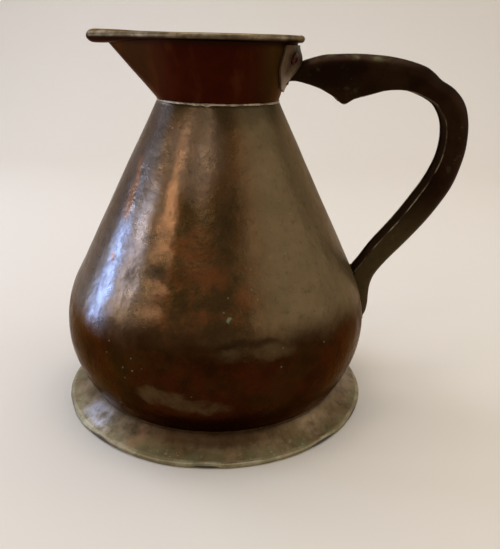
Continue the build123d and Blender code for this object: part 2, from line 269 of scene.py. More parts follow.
def body_shift(point):
    """How the beaten and dented skin departs from the true turned form."""
    azimuth = atan2(point.y, point.x)
    radius = max(hypot(point.x, point.y), MM)
    outward = Vector((point.x, point.y, 0)) / radius
    inward = 0.0
    for dent_azimuth, height, across, up, depth in BODY_DENTS:
        round_distance = turn_between(azimuth, radians(dent_azimuth)) * radius
        inward += depth * hump(round_distance, across) * hump(point.z - height, up)
    waves = BODY_WAVE * ripple(point, 0.055, 3.1) + BODY_RIPPLE * ripple(point, 0.018, 7.7)
    beaten = BODY_HAMMERING * ripple(point, 0.007, 1.9)
    free = smooth_step(BODY_BOTTOM + 4 * MM, BODY_FREE_FROM, point.z)
    free *= smooth_step(WAIST_HEIGHT, BODY_FREE_TO, point.z)
    return outward * (waves + beaten - inward - BODY_SINK) * free


def make_body():
    """Cone and belly: one beaten skin with a collar that stands up inside the neck."""
    collar_outer = WAIST_RADIUS - NECK_WALL - SEAT_CLEARANCE
    collar = [
        (collar_outer, WAIST_HEIGHT),
        (collar_outer, COLLAR_TOP),
        (collar_outer - BODY_WALL, COLLAR_TOP),
        (collar_outer - BODY_WALL, WAIST_HEIGHT - BODY_WALL),
    ]
    inside_top = WAIST_HEIGHT - 2 * BODY_WALL
    inside = [point for point in reversed(body_line(BODY_WALL)) if point[1] < inside_top]
    outline = body_line(0) + collar + inside
    return new_piece("body_skin", moved(turned_form(outline), body_shift))


# ---- foot --------------------------------------------------------------------------------------
# bends of the foot's edge: azimuth in degrees, reach in degrees, move outwards, lift (metres)
FOOT_BENDS = (
    (-121, 5, 0.2 * MM, 0.9 * MM),
    (-131, 5, -1.1 * MM, 1.6 * MM),
    (-140, 4, 0.2 * MM, 0.4 * MM),
    (-106, 8, 0.5 * MM, 0.0),
    (-92, 3, -0.9 * MM, 0.7 * MM),
    (-88, 2.5, -0.6 * MM, 0.4 * MM),
    (-158, 4, -0.5 * MM, 0.9 * MM),
    (-46, 6, -1.2 * MM, 0.5 * MM),
    (-24, 6, -1.2 * MM, 0.6 * MM),
    (12, 8, -1.6 * MM, 0.8 * MM),
    (70, 10, -1.2 * MM, 0.9 * MM),
    (120, 7, -0.9 * MM, 0.6 * MM),
    (160, 9, -1.4 * MM, 0.8 * MM),
)
# how far all of the edge lies inside, the radius from which the skirt is free to bend, and the
# ring of which its unevenness is read
FOOT_DRAW = 0.7 * MM
FOOT_FREE_FROM = 0.116
FOOT_NOISE_RING = 0.14


def foot_shift(point):
    """How the skirt's edge is bent and worn out of round."""
    azimuth = atan2(point.y, point.x)
    radius = hypot(point.x, point.y)
    outward = Vector((point.x, point.y, 0)) / radius
    loose = smooth_step(FOOT_FREE_FROM, FOOT_RADIUS - 2 * FOOT_BEAD, radius)
    push = -FOOT_DRAW
    lift = 0.0
    for bend_azimuth, reach, out, up in FOOT_BENDS:
        nearness = hump(turn_between(azimuth, radians(bend_azimuth)), radians(reach))
        push += out * nearness
        lift += up * nearness
    around = Vector((cos(azimuth), sin(azimuth), 0)) * FOOT_NOISE_RING
    push += 0.35 * MM * ripple(around, 0.020, 4.4) + 0.18 * MM * ripple(around, 0.006, 9.2)
    lift += 0.30 * MM * (ripple(point, 0.030, 6.1) + 0.5)
    push = min(push, 0.0)
    return (outward * push + Vector((0, 0, lift))) * loose


def make_foot():
    """Flared skirt: hollow-curved, with its edge rolled over a wire."""
    joint = (under_radius(FOOT_JOINT) - MM, FOOT_JOINT + MM)
    worn = 0.3 * MM
    bead = (FOOT_RADIUS - FOOT_BEAD, FOOT_BEAD - worn)
    crest = (bead[0], bead[1] + FOOT_BEAD)
    sag = 1.6 * MM
    straight = straight_points(joint, crest, 20)
    top = []
    for number, (x, z) in enumerate(straight):
        share = number / (len(straight) - 1)
        top.append((x, z - sag * sin(pi * share)))
    under = [(x, z - FOOT_WALL) for x, z in reversed(top) if x < bead[0] - 1.2 * FOOT_BEAD]
    roll_start, roll_end = radians(86), radians(-215)
    roll = arc_points(bead, FOOT_BEAD, roll_start, roll_end, 26)
    outline = top[:-1] + roll + under
    flat = [(x, max(z, 0.0)) for x, z in outline]
    return new_piece("foot_skin", moved(turned_form(flat), foot_shift))


# ---- neck --------------------------------------------------------------------------------------
def teardrop_point(across, back_radius, nose_radius, reach):
    """Point and outward direction at a share of the way round a teardrop, from its back."""
    nose_centre = reach - nose_radius
    flank = acos(-(back_radius - nose_radius) / nose_centre)
    flank_length = nose_centre * sin(flank)
    lengths = (back_radius * flank, flank_length, nose_radius * (pi - flank))
    side = 1 if across <= 0.5 else -1
    travelled = (across if side > 0 else 1 - across) * 2 * sum(lengths)
    if travelled <= lengths[0]:
        turn = travelled / back_radius
        x, y = back_radius * cos(turn), back_radius * sin(turn)
    elif travelled <= lengths[0] + lengths[1]:
        turn = flank
        run = travelled - lengths[0]
        x = back_radius * cos(flank) - run * sin(flank)
        y = back_radius * sin(flank) + run * cos(flank)
    else:
        turn = flank + (travelled - lengths[0] - lengths[1]) / nose_radius
        x, y = nose_radius * cos(turn) - nose_centre, nose_radius * sin(turn)
    return Vector((x, side * y, 0)), Vector((cos(turn), side * sin(turn), 0))


# where the rim starts to open towards the spout, and where it is a full lip
LIP_STARTS, LIP_FULL = -0.045, -0.096
# the roll runs up from the outer sheet, over and down inside, in degrees
ROLL_START, ROLL_TURN, ROLL_STEPS = -138, 300, 28
# the sheet's rows, and how far up the line to the mouth the last one lies
SHEET_STEPS, SHEET_END = 30, 0.955


def neck_section(across):
    """The neck's half section at a share of the way round: outer sheet, roll, inner sheet."""
    mouth, outward = teardrop_point(across, MOUTH_RADIUS, SPOUT_NOSE, SPOUT_REACH)
    line, line_out = teardrop_point(across, RIM_LINE, LIP_NOSE, LIP_REACH)
    waist = Vector((outward.x, outward.y, 0)) * WAIST_RADIUS
    lip = smooth_step(LIP_STARTS, LIP_FULL, line.x)
    half_width = RIM_BEAD + (LIP_HALF_WIDTH - RIM_BEAD) * lip
    half_height = RIM_BEAD + (LIP_HALF_HEIGHT - RIM_BEAD) * lip
    crest = RIM_HEIGHT + RIM_BEAD + LIP_CREST_RISE * lip
    centre = line + Vector((0, 0, crest - half_height))
    mouth.z = RIM_HEIGHT
    waist.z = WAIST_HEIGHT
    outer = [waist.lerp(mouth, step / SHEET_STEPS * SHEET_END) for step in range(SHEET_STEPS + 1)]
    roll = []
    for step in range(ROLL_STEPS + 1):
        turn = radians(ROLL_START + ROLL_TURN * step / ROLL_STEPS)
        rise = Vector((0, 0, half_height * sin(turn)))
        roll.append(centre + line_out * half_width * cos(turn) + rise)
    inner = [point - outward * NECK_WALL for point in reversed(outer)]
    return outer + roll + inner + outer[:1]


RIM_WAVE = 0.18 * MM
FUNNEL_WAVE = 0.30 * MM
FUNNEL_TOP = RIM_HEIGHT - 6 * MM
FUNNEL_FREE_FROM = WAIST_HEIGHT + 12 * MM


def neck_shift(point):
    """Slight waviness of the hand-made funnel."""
    if point.z > FUNNEL_TOP:
        return Vector((0, 0, RIM_WAVE * ripple(point, 0.022, 8.8)))
    outward = Vector((point.x, point.y, 0)).normalized()
    free = smooth_step(WAIST_HEIGHT, FUNNEL_FREE_FROM, point.z)
    return outward * (FUNNEL_WAVE * ripple(point, 0.030, 5.5)) * free


def make_neck():
    """Funnel, spout and rolled rim in one sheet."""
    columns = 400
    sections = [neck_section(column / columns) for column in range(columns + 1)]
    rows = len(sections[0]) - 1

    def place(across, along):
        return sections[round(across * columns)][round(along * rows)]

    return new_piece("neck_skin", moved(draped_form(columns, rows, place), neck_shift))


# ---- handle ------------------------------------------------------------------------------------
# stations along the handle in millimetres: back point (x, z), grip point (x, z), half width
HANDLE_STATIONS = (
    ((60.2, 295.6), (55.2, 282.6), 11.6),
    ((68.0, 298.4), (62.5, 283.2), 11.8),
    ((77.0, 301.4), (71.0, 281.6), 12.0),
    ((87.0, 304.0), (83.0, 277.8), 12.2),
    ((97.0, 304.8), (95.0, 271.5), 12.0),
    ((104.0, 305.2), (103.2, 266.0), 11.7),
    ((113.0, 305.3), (112.0, 270.3), 12.0),
    ((126.0, 305.0), (123.0, 273.6), 12.4),
    ((140.0, 304.0), (137.0, 277.5), 12.5),
    ((156.0, 301.0), (151.0, 278.2), 12.5),
    ((169.5, 297.0), (161.5, 275.5), 12.5),
    ((177.0, 292.6), (167.5, 272.2), 12.5),
    ((184.5, 286.4), (172.6, 268.6), 12.5),
    ((196.0, 279.6), (179.5, 262.6), 12.5),
    ((205.8, 268.5), (185.0, 253.0), 12.5),
    ((210.8, 254.0), (187.0, 243.5), 12.5),
    ((212.2, 238.0), (187.0, 232.5), 12.5),
    ((210.8, 222.0), (184.5, 220.0), 12.5),
    ((205.2, 201.0), (178.0, 205.0), 12.5),
    ((195.8, 183.0), (168.8, 190.0), 12.5),
    ((182.8, 163.5), (158.5, 174.5), 12.5),
    ((168.6, 146.0), (148.0, 160.0), 12.3),
    ((154.6, 129.5), (137.5, 145.0), 12.0),
    ((145.0, 116.0), (129.0, 130.0), 11.5),
    ((141.4, 106.0), (122.5, 117.0), 10.8),
    ((140.6, 96.0), (126.0, 100.0), 10.0),
    ((140.6, 87.0), (129.0, 87.0), 9.2),
    ((139.6, 79.0), (130.0, 78.5), 8.2),
    ((137.4, 73.4), (130.0, 73.4), 6.5),
)
# between these stations, by number, the grip lies nearer the back and the half width is less
DRAW_STARTS, DRAW_FULL, DRAW_EASES, DRAW_ENDS = 9.0, 14.0, 20.0, 25.5
GRIP_DRAW = 4.2
WIDTH_DRAW = 1.5
# width of the channel's edge beside the strap, and how far the strap is let in (millimetres)
CHANNEL_EDGE = 1.6
STRAP_STEP = 0.7
HANDLE_RINGS = 440


def spline_value(values, position):
    """Smooth run through evenly spaced vectors at a position counted in steps."""
    index = min(int(position), len(values) - 2)
    share = position - index
    before = values[max(index - 1, 0)]
    start, end = values[index], values[index + 1]
    after = values[min(index + 2, len(values) - 1)]
    return 0.5 * (
        2 * start
        + (end - before) * share
        + (2 * before - 5 * start + 4 * end - after) * share**2
        + (3 * start - before - 3 * end + after) * share**3
    )


def handle_section(half_width, depth):
    """D section in millimetres: half-round back, flat sides, the strap let in between them."""
    shoulder = max(depth - half_width, 0.35 * depth)
    back = [
        (half_width * cos(turn), shoulder + (depth - shoulder) * sin(turn))
        for turn in [pi * step / 32 for step in range(33)]
    ]
    edge = half_width - CHANNEL_EDGE
    side = [
        (half_width, 0.66 * shoulder),
        (half_width, 0.33 * shoulder),
        (half_width, 1.0),
        (half_width - 0.2, 0.4),
        (half_width - 0.6, 0.06),
        (edge + 0.4, 0.0),
        (edge, 0.2),
        (edge - 0.4, STRAP_STEP),
        (0.66 * edge, STRAP_STEP + 0.15),
        (0.33 * edge, STRAP_STEP + 0.2),
    ]
    grip = [(-x, y) for x, y in side] + [(0.0, STRAP_STEP + 0.2)] + side[::-1]
    return back + grip + back[:1]


HANDLE_WAVE = 0.16 * MM
HANDLE_HAMMERING = 0.06 * MM
HANDLE_RISE = 0.25 * MM


def handle_shift(point):
    """Small hammer marks and hollows along the handle."""
    outward = Vector((0, 1 if point.y > 0 else -1, 0))
    marks = HANDLE_WAVE * ripple(point, 0.017, 2.2) + HANDLE_HAMMERING * ripple(point, 0.006, 4.2)
    rise = Vector((0, 0, HANDLE_RISE * ripple(point, 0.024, 6.6)))
    return outward * marks * smooth_step(0.0, 6 * MM, abs(point.y)) + rise


def make_handle():
    """Hollow handle: half-round channel, the strap that closes it, and the spur."""
    table = []
    widths = []
    for number, (back, grip, width) in enumerate(HANDLE_STATIONS):
        drawn = smooth_step(DRAW_STARTS, DRAW_FULL, number)
        drawn *= 1 - smooth_step(DRAW_EASES, DRAW_ENDS, number)
        back, grip = Vector(back), Vector(grip)
        grip += (back - grip).normalized() * GRIP_DRAW * drawn
        table.append(Vector((*back, *grip)))
        widths.append(Vector((width - WIDTH_DRAW * drawn, 0)))
    sections = []
    for ring in range(HANDLE_RINGS + 1):
        position = ring / HANDLE_RINGS * (len(table) - 1)
        back_x, back_z, grip_x, grip_z = spline_value(table, position)
        depth = hypot(back_x - grip_x, back_z - grip_z)
        section = []
        for side, rise in handle_section(spline_value(widths, position).x, depth):
            share = rise / depth
            x = grip_x + (back_x - grip_x) * share
            z = grip_z + (back_z - grip_z) * share
            section.append(Vector((x, side, z)) * MM)
        sections.append(section)
    rounds = len(sections[0]) - 1

    strap_side = widths[0].x - CHANNEL_EDGE - 0.2
    marked_depth = 20
    outline = handle_section(widths[0].x, marked_depth)

    def place(across, along):
        return sections[round(along * HANDLE_RINGS)][round(across * rounds)]

    def mark(across):
        """1 on the strap, a half on the channel's edges beside it, and 0 on the rest."""
        x, y = outline[round(across * rounds)]
        if abs(x) < strap_side and y < 1.2:
            return 1.0
        return 0.5 if y < 0.45 else 0.0

    form = draped_form(rounds, HANDLE_RINGS, place, mark)
    ends = [edge for edge in form.edges if edge.is_boundary]
    bmesh.ops.holes_fill(form, edges=ends, sides=0)
    weld(form)
    return new_piece("handle_skin", moved(form, handle_shift))


# ---- plate, rivets and solder ------------------------------------------------------------------
def plate_point(azimuth, height, stand_off):
    """A point on the back of the neck, raised off it."""
    slope = (MOUTH_RADIUS - WAIST_RADIUS) / (RIM_HEIGHT - WAIST_HEIGHT)
    radius = WAIST_RADIUS + slope * (height - WAIST_HEIGHT) + stand_off
    return Vector((radius * cos(azimuth), radius * sin(azimuth), height))


# half the plate's reach round the neck, in degrees, and the share of its height where it is full
TOE_ANGLE, WIDENING, FULL_AT = 20, 15, 0.62
TOP_WIDENING, TOE_ROUNDING = 0.8, 12
PLATE_BULGE = 6.2 * MM


def plate_half_angle(height):
    """Half the plate's reach round the neck at a height: wide above, drawn in at the bottom."""
    share = (height - PLATE_BOTTOM) / (PLATE_TOP - PLATE_BOTTOM)
    rise = min(share / FULL_AT, 1.0)
    body = TOE_ANGLE + WIDENING * sin(pi / 2 * rise) ** 1.15
    top = TOP_WIDENING * smooth_step(0.80, 1.0, share)
    toe = TOE_ROUNDING * (1 - smooth_step(0.0, 0.10, share))
    return radians(body + top - toe)


def plate_bulge(azimuth, height):
    """How far the handle has drawn the middle of the plate away from the neck."""
    middle = 1 - smooth_step(radians(9), radians(21), abs(azimuth))
    top = 1 - smooth_step(298 * MM, 312 * MM, height)
    low = smooth_step(275 * MM, 297 * MM, height)
    return PLATE_BULGE * middle * top * low


def make_plate():
    """Shield plate wrapped round the back of the neck, its edges rounded over."""
    def place(across, along):
        height = PLATE_BOTTOM + (PLATE_TOP - PLATE_BOTTOM) * along
        azimuth = (2 * across - 1) * plate_half_angle(height)
        return plate_point(azimuth, height, PLATE_THICKNESS + plate_bulge(azimuth, height))

    form = draped_form(80, 48, place)
    form.normal_update()
    inward = [face for face in form.faces if face.normal.x < 0]
    bmesh.ops.reverse_faces(form, faces=inward)
    bmesh.ops.solidify(form, geom=form.faces[:], thickness=PLATE_THICKNESS)
    bmesh.ops.recalc_face_normals(form, faces=form.faces)
    piece = new_piece("plate_skin", form)
    bevel = piece.modifiers.new("edge", "BEVEL")
    bevel.width = 0.7 * MM
    bevel.segments = 3
    bevel.limit_method = "ANGLE"
    return piece


def make_rivets():
    """Two domed rivets beside the handle's root."""
    form = bmesh.new()
    sunk = 0.3 * MM
    neck_lean = -0.31
    squat = Matrix.Diagonal((1, 1, 0.62, 1))
    for side in (-1, 1):
        ball = bmesh.ops.create_uvsphere(form, u_segments=40, v_segments=24, radius=RIVET_RADIUS)
        stand_off = PLATE_THICKNESS + plate_bulge(RIVET_AZIMUTH, RIVET_HEIGHT) - sunk
        centre = plate_point(side * RIVET_AZIMUTH, RIVET_HEIGHT, stand_off)
        outward = Vector((cos(RIVET_AZIMUTH), side * sin(RIVET_AZIMUTH), neck_lean)).normalized()
        turn = outward.to_track_quat("Z", "Y").to_matrix().to_4x4()
        place = Matrix.Translation(centre) @ turn @ squat
        bmesh.ops.transform(form, matrix=place, verts=ball["verts"])
    return new_piece("rivet_heads", form)


SOLDER_LINE = WAIST_RADIUS - 0.15 * MM
SOLDER_RADIUS = 1.05 * MM
SOLDER_DROP = 0.35 * MM


def make_waist_solder():
    """Uneven line of solder where the neck stands on the cone, with two blobs on it."""
    def place(across, along):
        azimuth = 2 * pi * across
        around = Vector((cos(azimuth), sin(azimuth), 0)) * WAIST_RADIUS
        swell = 1 + 0.30 * ripple(around, 0.010, 1.3) + 0.25 * ripple(around, 0.0035, 6.4)
        blob = 1.1 * hump(turn_between(azimuth, radians(-97)) * WAIST_RADIUS, 2.2 * MM)
        blob += 0.5 * hump(turn_between(azimuth, radians(-107)) * WAIST_RADIUS, 3.0 * MM)
        radius = SOLDER_RADIUS * (swell + 0.6 * blob)
        sag = SOLDER_DROP + 0.5 * MM * blob - 0.25 * MM * ripple(around, 0.016, 2.8)
        turn = 2 * pi * along
        reach = SOLDER_LINE + radius * cos(turn)
        height = WAIST_HEIGHT - sag + 0.9 * radius * sin(turn)
        return Vector((reach * cos(azimuth), reach * sin(azimuth), height))

    return new_piece("waist_solder_line", draped_form(480, 14, place))


# ---- finishes ----------------------------------------------------------------------------------
class Value:
    """A shader number; sums and products of these add Math nodes to the tree."""

    def __init__(self, finish, socket):
        self.finish = finish
        self.socket = socket

    def calc(self, operation, *others):
        """A Math node on this number and the others."""
        inputs = dict(enumerate([self, *others]))
        return self.finish.node("ShaderNodeMath", {"operation": operation}, inputs)["Value"]

    def __add__(self, other):
        return self.calc("ADD", other)

    def __mul__(self, other):
        return self.calc("MULTIPLY", other)

    def __sub__(self, other):
        return self.calc("SUBTRACT", other)

    def __rsub__(self, other):
        return (self * -1) + other

    def __pow__(self, other):
        return self.calc("POWER", other)

    __radd__ = __add__
    __rmul__ = __mul__

    def clamped(self):
        """This number kept between 0 and 1."""
        return self.calc("MINIMUM", 1.0).calc("MAXIMUM", 0.0)

    def above(self, low, high):
        """0 below low, 1 above high, smooth between."""
        settings = {"interpolation_type": "SMOOTHSTEP"}
        values = {"Value": self, "From Min": low, "From Max": high, "To Min": 0.0, "To Max": 1.0}
        return self.finish.node("ShaderNodeMapRange", settings, values)["Result"]

    def below(self, low, high):
        """1 below low, 0 above high, smooth between."""
        return 1 - self.above(low, high)


class Finish:
    """One procedural material and the node tree that makes it.

    Heights and radii are in metres, azimuths in degrees from +X, and colours are given as they look
    on screen, 0 to 255.
    """

    def __init__(self, name):
        self.material = bpy.data.materials.new(name)
        self.material.use_nodes = True
        self.tree = self.material.node_tree
        self.shader = self.tree.nodes["Principled BSDF"]
        self.place = self.node("ShaderNodeTexCoord", {}, {})["Object"]
        split = self.node("ShaderNodeSeparateXYZ", {}, {"Vector": self.place})
        self.x, self.y, self.z = split["X"], split["Y"], split["Z"]
        self.radius = (self.x * self.x + self.y * self.y) ** 0.5
        self.azimuth = self.y.calc("ARCTAN2", self.x)

    def node(self, kind, settings, values):
        """Adds a node; returns its outputs by name."""
        node = self.tree.nodes.new(kind)
        for name, setting in settings.items():
            setattr(node, name, setting)
        for key, value in values.items():
            self.feed(self.socket_of(node, key), value)
        return {output.name: Value(self, output) for output in node.outputs if output.enabled}

    def feed(self, socket, value):
        """Links a shader number to an input, or sets the input to a plain value."""
        if isinstance(value, Value):
            self.tree.links.new(value.socket, socket)
        else:
            socket.default_value = value

    @staticmethod
    def socket_of(node, key):
        """An input by index, or the enabled one of that name."""
        if isinstance(key, int):
            return node.inputs[key]
        return next(item for item in node.inputs if item.name == key and item.enabled)

    def cloud(self, scale, detail=4.0, roughness=0.55, stretch=(1.0, 1.0, 1.0), seed=0.0):
        """Soft noise from 0 to 1, scaled per metre; stretch draws the pattern out along an axis."""
        moved_place = self.node(
            "ShaderNodeMapping",
            {"vector_type": "POINT"},
            {
                "Vector": self.place,
                "Location": (seed, 1.7 * seed, 0.6 * seed),
                "Scale": stretch,
            },
        )["Vector"]
        return self.node(
            "ShaderNodeTexNoise",
            {"noise_dimensions": "3D"},
            {
                "Vector": moved_place,
                "Scale": scale,
                "Detail": detail,
                "Roughness": roughness,
            },
        )["Fac"]

    def specks(self, scale, size, seed=0.0):
        """Small round specks, 1 inside and 0 outside, scattered and of mixed strength."""
        moved_place = self.node(
            "ShaderNodeMapping",
            {"vector_type": "POINT"},
            {"Vector": self.place, "Location": (seed, seed, seed)},
        )["Vector"]
        cells = self.node(
            "ShaderNodeTexVoronoi",
            {"feature": "F1", "voronoi_dimensions": "3D"},
            {"Vector": moved_place, "Scale": scale, "Randomness": 1.0},
        )
        return cells["Distance"].below(size * 0.5, size)

    def ragged(self, reach, scale, seed):
        """Pushes the azimuth and height about, so that no painted edge runs straight."""
        usual_radius = 0.1
        turn = self.cloud(scale, 4, 0.6, seed=seed) - 0.5
        self.azimuth = self.azimuth + turn * (reach / usual_radius)
        rise = self.cloud(scale, 4, 0.6, seed=seed + 3) - 0.5
        self.z = self.z + rise * reach

    def sector(self, start, end, soft):
        """1 between two azimuths in degrees, with soft edges."""
        rise = self.azimuth.above(radians(start - soft), radians(start + soft))
        return rise * self.azimuth.below(radians(end - soft), radians(end + soft))

    def layer(self, low, high, soft):
        """1 between two heights, with soft edges."""
        return self.z.above(low - soft, low + soft) * self.z.below(high - soft, high + soft)

    def patch(self, azimuth, height, across, up):
        """A soft round patch at an azimuth in degrees and a height: 1 in its middle."""
        side = (self.azimuth - radians(azimuth)) * self.radius * (1 / across)
        rise = (self.z - height) * (1 / up)
        return (side * side + rise * rise).below(0.15, 1.1)

    def mix(self, amount, first, second):
        """Colour that goes from first to second."""
        return self.node(
            "ShaderNodeMix",
            {"data_type": "RGBA", "blend_type": "MIX"},
            {"Factor": amount, "A": first, "B": second},
        )["Result"]

    def ground(self, amount, first, second):
        """Starts the finish with a colour that goes from first to second."""
        self.base = self.mix(amount, colour(*first), colour(*second))

    def paint(self, amount, tint):
        """Lays a colour over what is there, by an amount from 0 to 1."""
        self.base = self.mix(amount, self.base, colour(*tint))

    def bump(self, height, distance, strength, onto=None):
        """A normal from a height, laid on another normal if one is given."""
        values = {"Height": height, "Distance": distance, "Strength": strength}
        if onto is not None:
            values["Normal"] = onto
        return self.node("ShaderNodeBump", {}, values)["Normal"]

    def set(self, **values):
        """Sets or links the shader's own sockets."""
        names = {
            "color": "Base Color",
            "metal": "Metallic",
            "rough": "Roughness",
            "normal": "Normal",
            "coat": "Coat Weight",
            "coat_rough": "Coat Roughness",
            "shine": "Specular IOR Level",
            "tint": "Specular Tint",
        }
        for key, value in values.items():
            self.feed(self.shader.inputs[names[key]], value)


def colour(red, green, blue):
    """A colour as it looks on screen, 0 to 255, as the linear values that a shader takes."""
    def linear(level):
        share = level / 255
        return share / 12.92 if share <= 0.04045 else ((share + 0.055) / 1.055) ** 2.4

    return (linear(red), linear(green), linear(blue), 1.0)


VERDIGRIS = (112, 140, 108)


def lay_shoulder(f, clouds):
    """The cone and the round of the belly: browns, red in the middle, olive to the right under a
    painted reflection, and painted shade under the neck.
    """
    f.ground(clouds["broad"].above(0.38, 0.62), (86, 62, 34), (106, 74, 44))
    f.paint(clouds["soft"].above(0.48, 0.64) * 0.6, (66, 52, 26))
    red = f.sector(-112, -72, 9) * f.layer(0.110, 0.210, 0.025)
    f.paint(red * clouds["mottle"].above(0.42, 0.66) * 0.55, (116, 60, 26))
    f.paint(red * clouds["uprights"].below(0.36, 0.54) * 0.50, (58, 44, 18))
    drab = f.sector(-116, -76, 8) * f.layer(0.100, 0.150, 0.015)
    f.paint(drab * clouds["mottle"].below(0.45, 0.65) * 0.55, (54, 42, 14))
    # painted reflection: the right side paler over its olive patina, as a pale wall beside it would
    # show, and paler still towards the handle
    right = f.sector(-70, 60, 10) * f.z.above(0.075, 0.105)
    f.paint(right * 0.85, (104, 87, 60))
    f.paint(f.sector(-34, 30, 8) * f.z.above(0.085, 0.110) * 0.5, (134, 114, 84))
    # painted shade: the cone darker just under the neck
    shade_under_neck = f.z.above(0.246, 0.266)
    f.paint(shade_under_neck * 0.7, (64, 54, 32))
    return right


def lay_left_side(f, clouds):
    """Greyed and rubbed left side: pale bands that are painted reflections, a streak of copper
    rubbed to the metal and brightened by a painted reflection, painted shade in two dents, a thin
    slanted line.
    """
    left = f.azimuth.below(radians(-122), radians(-108)) * f.layer(0.100, 0.250, 0.015)
    f.paint(left * 0.6, (132, 108, 84))
    # painted reflection: a pale grey upright band on the left side
    grey = f.sector(-129, -120.5, 2.5) * f.layer(0.126, 0.205, 0.014)
    f.paint(grey * clouds["uprights"].above(0.26, 0.55) * 0.75, (146, 136, 134))
    # painted shade in the hollows of two dents
    hollow = f.patch(-124, 0.1435, 0.008, 0.008) + f.patch(-112, 0.149, 0.013, 0.006)
    f.paint(hollow.clamped() * 0.45, (56, 46, 38))
    # painted reflection: a pale patch on the front of the cone, broken up by upright noise
    front_reflection = f.patch(-101, 0.230, 0.024, 0.038)
    front_reflection = front_reflection * (0.5 + 0.5 * clouds["uprights"].above(0.38, 0.62))
    f.paint(front_reflection * 0.8, (138, 118, 98))
    # a streak of copper rubbed to the metal, brightened by a painted reflection
    worn = f.sector(-115.5, -109.8, 2.0) * f.layer(0.168, 0.240, 0.018)
    fading = 0.55 + 0.45 * f.z.above(0.165, 0.195)
    blobs = f.patch(-112, 0.140, 0.014, 0.006) + f.patch(-112, 0.160, 0.013, 0.008)
    blobs = blobs + f.patch(-113, 0.121, 0.012, 0.007) * 0.6
    streak = worn * fading * clouds["uprights"].above(0.30, 0.60)
    streak = (streak + blobs * clouds["mottle"].above(0.34, 0.60) * 0.5).clamped()
    f.paint(streak * 0.85, (184, 136, 96))
    slanted = f.azimuth + radians(122) * (f.z - 0.2)
    line = slanted.above(radians(-145.5), radians(-141.5))
    line = line * slanted.below(radians(-141), radians(-137))
    line = line * f.layer(0.182, 0.222, 0.010) * clouds["uprights"].above(0.34, 0.58)
    line = (line + f.patch(-138.5, 0.1505, 0.0055, 0.0035) * 0.5).clamped()
    haze = f.sector(-178, -129, 4) * f.z.above(0.088, 0.108) * (1 - line)
    f.paint(haze * 0.55, (104, 98, 96))
    # painted reflection: bluish window light on the left side
    window_glare = f.sector(-142, -131, 3) * f.layer(0.100, 0.176, 0.012) * (1 - line)
    f.paint(window_glare * clouds["mottle"].below(0.40, 0.75) * 0.8, (134, 136, 150))
    f.paint(line * 0.85, (170, 106, 70))


def lay_belly(f, clouds):
    """Deep red underside, darker with painted shade towards the bottom, with painted reflections in
    its dents and painted shade along a fold where it turns up to the shoulder.
    """
    # darker and redder towards the bottom: a darker patina with painted shade in it
    low = f.z.below(0.088, 0.120)
    f.paint(low * 0.95, (52, 17, 2))
    f.paint(low * clouds["mottle"].above(0.42, 0.66) * 0.7, (30, 14, 3))
    f.paint(low * clouds["broad"].above(0.45, 0.62) * 0.35, (52, 40, 12))
    # painted reflections: pale patches in the dents of the lower belly
    dent_reflections = f.patch(-107, 0.056, 0.024, 0.010) + f.patch(-92, 0.050, 0.030, 0.008)
    dent_reflections = dent_reflections + f.patch(-75, 0.096, 0.034, 0.008) + f.patch(-80, 0.108, 0.034, 0.006) * 0.6
    f.paint(dent_reflections.clamped() * clouds["mottle"].above(0.28, 0.62) * 0.5, (104, 84, 56))
    # painted shade along the crease
    crease = f.patch(-78, 0.103, 0.026, 0.005)
    f.paint(crease * clouds["mottle"].above(0.25, 0.6) * 0.55, (36, 22, 8))
    return low


def body_finish():
    """Brown patina over copper: olive to the right, deep red below, rubbed to metal at the left,
    with painted reflections and painted shade laid over it.
    """
    f = Finish("body_patina")
    f.ragged(0.022, 34, seed=3.3)
    clouds = {
        "broad": f.cloud(13, 4, 0.6, seed=2.0),
        "mottle": f.cloud(44, 6, 0.66, seed=9.5),
        "soft": f.cloud(24, 6, 0.62, seed=11.5),
        "uprights": f.cloud(30, 6, 0.65, stretch=(1.0, 1.0, 0.22), seed=5.0),
    }
    mottle = clouds["mottle"]
    right = lay_shoulder(f, clouds)
    lay_left_side(f, clouds)
    low = lay_belly(f, clouds)
    fine = f.cloud(170, 7, 0.72, seed=9.0)
    f.paint(fine.above(0.50, 0.78) * 0.5, (42, 24, 8))
    f.paint(fine.below(0.22, 0.40) * (1 - low) * 0.35, (150, 122, 86))
    spots = f.specks(150, 0.15, seed=1.0) * f.cloud(30, 3, seed=4.0).above(0.58, 0.64)
    spot = f.patch(-82.7, 0.121, 0.0026, 0.0026) * mottle.above(0.3, 0.4)
    spots = (spots * 0.6 + spot).clamped()
    f.paint(spots * 0.8, VERDIGRIS)
    rough = 0.19 + 0.15 * mottle.above(0.35, 0.75) + 0.14 * fine + 0.3 * spots + 0.12 * right
    grain = f.bump(fine, 0.00018, 0.6)
    beaten = f.bump(f.cloud(80, 4, 0.55, seed=3.0), 0.0015, 0.5, onto=grain)
    f.set(color=f.base, metal=0.80 + 0.14 * low, rough=rough, normal=beaten, shine=0.2)
    f.set(coat=0.05 * (1 - low), coat_rough=0.10, tint=colour(214, 196, 178))
    return f.material


